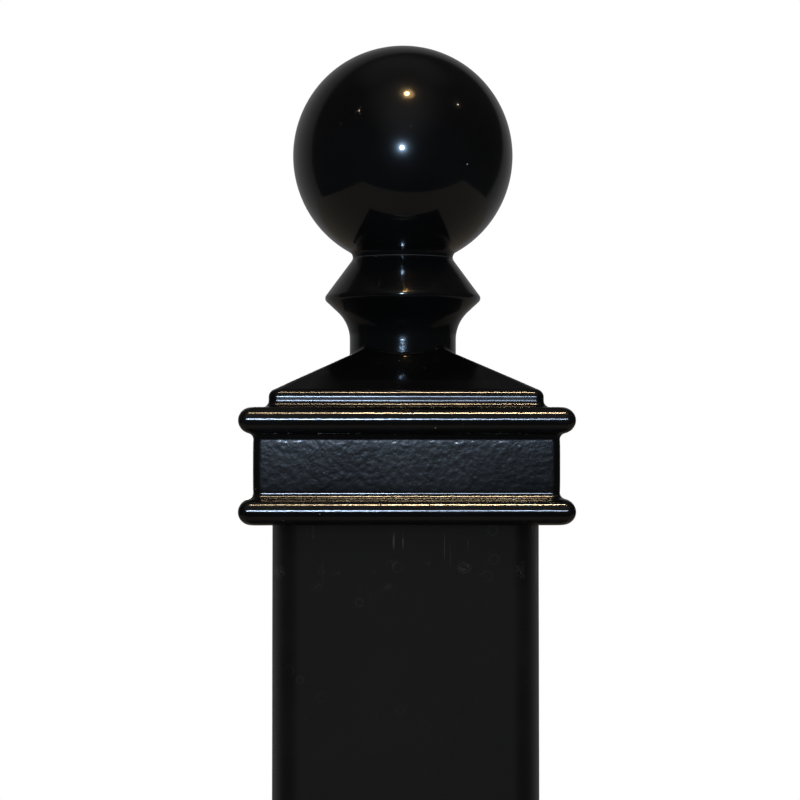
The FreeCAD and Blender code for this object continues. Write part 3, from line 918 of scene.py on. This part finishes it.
# ====================================================================
# studio
# ====================================================================
def build_world():
    """White to the camera and a white dome for soft light; mirror-like surfaces see a pale
    backdrop behind the post and a dark room with a dim ceiling in front of it."""
    world = bpy.data.worlds.new("studio")
    bpy.context.scene.world = world
    world.use_nodes = True
    graph = Graph(world.node_tree)
    x, y, z = graph.axes(graph.add("ShaderNodeTexCoord").outputs["Generated"])[:3]
    lean = graph.times(z, BACKDROP_LEAN)
    twist = graph.times(graph.times(x, z), BACKDROP_TWIST)
    depth = graph.minus(graph.minus(y, graph.times(x, BACKDROP_TURN)), graph.plus(lean, twist))
    behind = graph.plus(graph.ramp(depth, BACKDROP_EDGE - BACKDROP_SOFT,
                                   BACKDROP_EDGE + BACKDROP_SOFT, 0.0, 0.5),
                        graph.ramp(depth, 0.35, 0.85, 0.0, 0.5))
    backdrop = graph.times(behind, graph.ramp(z, 0.35, 0.90, 1.0, 0.6))
    sideways = graph.math("POWER", x, 2.0)
    off_patch = graph.math("POWER", graph.minus(z, CEILING_MIDDLE), 2.0)
    reach = graph.math("SQRT", graph.plus(sideways, off_patch))
    patch = graph.times(graph.ramp(reach, 0.05, CEILING_REACH, 1.0, 0.0),
                        graph.ramp(y, 0.15, -0.45))
    overhead = graph.ramp(z, 0.80, 0.97, 0.0, OVERHEAD)
    ceiling = graph.math("MAXIMUM", graph.times(patch, CEILING), overhead)
    room = graph.mix(graph.plus(ceiling, ROOM), rgb(0.0), rgb(1.0, (1.0, 1.01, 0.97)))
    mirror = graph.mix(backdrop, room, rgb(BACKDROP, (1.0, 0.99, 0.99)))
    path = graph.add("ShaderNodeLightPath").outputs
    glossy = graph.add("ShaderNodeBackground", {"Color": mirror})
    soft = graph.add("ShaderNodeBackground", {"Color": rgb(1.0), "Strength": DOME})
    camera = graph.add("ShaderNodeBackground", {"Color": rgb(1.0), "Strength": 1.0})
    lit = graph.blend(path["Is Glossy Ray"], soft, glossy)
    seen = graph.blend(path["Is Camera Ray"], lit, camera)
    graph.add("ShaderNodeOutputWorld", {"Surface": seen.outputs[0]})


def area_light(name, place, aim, width, height, watts, colour):
    """A lamp face turned to its aim: a disc, or a level strip if its height differs."""
    data = bpy.data.lights.new(name, "AREA")
    data.shape = "DISK" if width == height else "RECTANGLE"
    data.size = width
    if width != height:
        data.size_y = height
    data.energy = watts
    data.color = colour
    light = bpy.data.objects.new(name, data)
    light.location = place
    light.rotation_mode = "QUATERNION"
    light.rotation_quaternion = (Vector(aim) - Vector(place)).to_track_quat("-Z", "Y")
    light.visible_camera = False
    bpy.context.scene.collection.objects.link(light)
    return light


def towards(azimuth, elevation, distance, origin):
    """A point at a compass direction from the front (-Y), positive to the right."""
    a, e = math.radians(azimuth), math.radians(elevation)
    way = Vector((math.sin(a) * math.cos(e), -math.cos(a) * math.cos(e), math.sin(e)))
    return Vector(origin) + way * distance


def camera_place():
    """Where the camera stands, level with the collar."""
    return Vector((CAMERA_AWAY * math.sin(CAMERA_AZIMUTH),
                   -CAMERA_AWAY * math.cos(CAMERA_AZIMUTH), CAP_Z + CAMERA_UP))


def only_for(light, pieces):
    """Keeps a light to the named pieces, as a flag or a snoot would."""
    group = bpy.data.collections.new(light.name + "_pieces")
    for piece in pieces:
        group.objects.link(piece)
    light.light_linking.receiver_collection = group


def flagged(light):
    """Keeps a light off everything behind the cap's front face, as a black flag over the
    cap would. The lit point follows from the light's own point and the ray."""
    light.data.use_nodes = True
    graph = Graph(light.data.node_tree)
    geometry = graph.add("ShaderNodeNewGeometry").outputs
    start = graph.axes(geometry["Position"])[1]
    way = graph.axes(geometry["Incoming"])[1]
    length = graph.add("ShaderNodeLightPath").outputs["Ray Length"]
    lit = graph.plus(start, graph.times(way, length))
    share = graph.ramp(lit, FLAG_Y, FLAG_Y + FLAG_SOFT, 1.0, 0.0)
    glow = graph.add("ShaderNodeEmission", {"Strength": share})
    graph.add("ShaderNodeOutputLight", {"Surface": glow.outputs[0]})


def build_lights():
    """The camera's flash, the warm ceiling lamps and the soft boxes. The collar sees a
    wider flash and lamp of its own."""
    ball = Vector((0, 0, BALL_Z))
    collar = Vector((0, 0, CAP_Z + 0.03))
    eye = camera_place() + Vector((0, 0, FLASH_ABOVE_CAMERA))
    cap = bpy.data.objects["cap_shell"]
    post = bpy.data.objects["post_skin"]
    others = [piece for piece in bpy.data.objects
              if piece.type == "MESH" and piece not in (cap, post)]
    lower = [post, bpy.data.objects["foot_cover_shell"], bpy.data.objects["weld_bead"],
             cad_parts["base_plate"]]

    flash = area_light("flash", eye + Vector((FLASH_ASIDE, 0, 0)), (0, 0, CAP_Z + 0.08),
                       FLASH_WIDTH, FLASH_WIDTH, 6.2, FLASH_BLUE)
    lamp = area_light("ceiling_lamp", towards(5.5, 59.6, CEILING_AWAY, ball), ball,
                      LAMP_WIDTH, LAMP_WIDTH, 6.4, LAMP_GOLD)
    glow = area_light("lamp_glow", towards(8.5, 58.8, CEILING_AWAY, ball), ball,
                      GLOW_WIDTH, GLOW_WIDTH, 0.7, LAMP_GOLD)
    for light in (flash, lamp, glow):
        only_for(light, others)

    middle = Vector((0, 0, SOFTBOX_UP))
    for name, azimuth, watts, pieces in (("post_softbox", 0, 3.2, [post]),
                                         ("right_softbox", 112, 2.4, lower),
                                         ("back_softbox", 180, 3.2, lower),
                                         ("left_softbox", -112, 2.4, lower)):
        softbox = area_light(name, towards(azimuth, 0, SOFTBOX_AWAY, middle), middle,
                             SOFTBOX_WIDTH, SOFTBOX_HEIGHT, watts, SOFTBOX_WHITE)
        only_for(softbox, pieces)
    fill_z = CAP_Z + 0.12
    cap_fill = area_light("cap_fill_back", (0, FILL_AWAY, fill_z), (0, 0, fill_z),
                          FILL_WIDTH, FILL_WIDTH, 1.4, FILL_WHITE)
    only_for(cap_fill, [cap])

    above = collar + Vector((0, -math.cos(LAMP_RISE), math.sin(LAMP_RISE))) * CEILING_AWAY
    for name, place, aside, width, watts, colour in (
            ("collar_flash", eye, -0.03, 0.16, 3.2, PALE_BLUE),
            ("collar_flash_right", eye, 0.13, 0.16, 1.5, PALE_BLUE),
            ("collar_lamp", above, 0.10, 0.22, 8.0, PALE_GOLD),
            ("collar_lamp_left", above, -0.06, 0.12, 1.7, PALE_GOLD)):
        strip = area_light(name, place + Vector((aside, 0, 0)), collar, width, STRIP_HEIGHT,
                           watts, colour)
        only_for(strip, [cap])
        flagged(strip)
    for name, azimuth, elevation, watts in (("left_lamp", -55.9, 38.3, 0.20),
                                            ("right_lamp", 73.8, 41.5, 0.27),
                                            ("far_lamp_left", -73.4, 25.2, 0.008),
                                            ("far_lamp_right", 7.5, 23.7, 0.012)):
        area_light(name, towards(azimuth, elevation, SIDE_LAMP_AWAY, ball), ball,
                   SIDE_LAMP_WIDTH, SIDE_LAMP_WIDTH, watts, LAMP_AMBER)


def build_floor():
    """A pale round floor that fades out at its rim. Reflections see it as a warm patch with
    straight edges."""
    points = np.array([circle_ring(r, 0.0) for r in np.linspace(0.02, FLOOR_R, 40)])
    mesh = bpy.data.meshes.new("floor")
    count, around = points.shape[:2]
    faces = [(i * around + j, i * around + (j + 1) % around,
              (i + 1) * around + (j + 1) % around, (i + 1) * around + j)
             for i in range(count - 1) for j in range(around)]
    faces.append(tuple(reversed(range(around))))
    mesh.from_pydata(points.reshape(-1, 3).tolist(), [], faces)
    floor = bpy.data.objects.new("floor", mesh)
    bpy.context.scene.collection.objects.link(floor)
    material, graph, place = new_material("pale_floor")
    x, y = graph.axes(place)[:2]
    away = graph.math("SQRT", graph.plus(graph.math("POWER", x, 2.0),
                                         graph.math("POWER", y, 2.0)))
    grain = graph.noise(place, 60, 4.0)
    pale = graph.mix(grain, rgb(0.86, (1, 0.995, 0.985)), rgb(0.92, (1, 1, 0.995)))
    seen = graph.add("ShaderNodeBsdfDiffuse", {"Color": pale})
    lift = graph.add("ShaderNodeEmission", {"Color": pale, "Strength": 0.32})
    bright = graph.add("ShaderNodeAddShader", {0: seen.outputs[0], 1: lift.outputs[0]})
    shade = graph.ramp(away, TABLE_SHADE * 0.6, TABLE_SHADE, 0.4, 1.0)
    dim = graph.add("ShaderNodeEmission", {"Color": rgb(TABLE, (1.0, 0.88, 0.73)),
                                           "Strength": shade})
    path = graph.add("ShaderNodeLightPath").outputs
    surface = graph.blend(path["Is Glossy Ray"], bright, dim)
    clear = graph.add("ShaderNodeBsdfTransparent")
    rim = graph.ramp(away, 0.75, 1.30)
    left = graph.plus(x, graph.times(y, 0.35))
    front = graph.minus(y, graph.times(x, 0.10))
    cut = graph.math("MAXIMUM", graph.ramp(left, TABLE_LEFT, TABLE_LEFT - TABLE_SOFT),
                     graph.ramp(front, -TABLE_FRONT, -TABLE_FRONT - TABLE_SOFT))
    cut = graph.math("MAXIMUM", cut, graph.ramp(x, TABLE_RIGHT, TABLE_RIGHT + TABLE_SOFT))
    fade = graph.add("ShaderNodeMix", {"Factor": path["Is Glossy Ray"], "A": rim, "B": cut},
                     data_type="FLOAT").outputs["Result"]
    shown = graph.blend(fade, surface, clear)
    graph.add("ShaderNodeOutputMaterial", {"Surface": shown.outputs[0]})
    mesh.materials.append(material)


def build_camera():
    """The camera, turned by its pitch and a small yaw from the post's axis."""
    data = bpy.data.cameras.new("camera")
    data.lens = CAMERA_LENS
    data.sensor_width = 36
    data.clip_start = 0.05
    camera = bpy.data.objects.new("camera", data)
    camera.location = camera_place()
    heading = CAMERA_AZIMUTH - CAMERA_YAW
    ahead = Vector((-math.sin(heading) * math.cos(CAMERA_PITCH),
                    math.cos(heading) * math.cos(CAMERA_PITCH), math.sin(CAMERA_PITCH)))
    camera.rotation_mode = "QUATERNION"
    camera.rotation_quaternion = ahead.to_track_quat("-Z", "Y")
    bpy.context.scene.collection.objects.link(camera)
    bpy.context.scene.camera = camera


build_world()
build_lights()
build_floor()
build_camera()
bpy.context.scene.view_settings.view_transform = "Standard"
